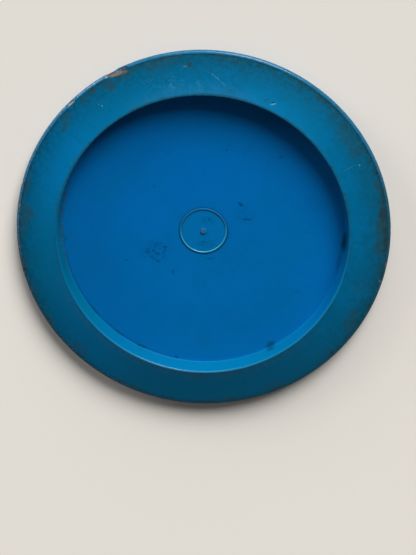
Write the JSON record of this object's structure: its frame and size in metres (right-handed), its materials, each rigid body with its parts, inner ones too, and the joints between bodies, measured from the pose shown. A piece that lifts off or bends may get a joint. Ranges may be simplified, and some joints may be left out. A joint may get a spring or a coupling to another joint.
{
  "type": "golf disc",
  "caption": "Round moulded flying disc with a wide tapered rim, a thin flight plate and a shallow open cavity underneath, thrown by hand at a target in disc golf.",
  "frame": {"origin": "middle of the flight plate's outer face, on the surface that the disc lies on", "axes": "+Z along the disc's axis, out of its open side; +X and +Y across the disc, with the picture's camera leaning towards +Y"},
  "size_m": [0.211, 0.211, 0.0152],
  "materials": {
    "disc_plastic": "satin moulded plastic, blue all through, scuffed and a little dirty at the rim"
  },
  "bodies": {
    "root": {"golf_disc": "disc_plastic"}
  },
  "joints": []
}
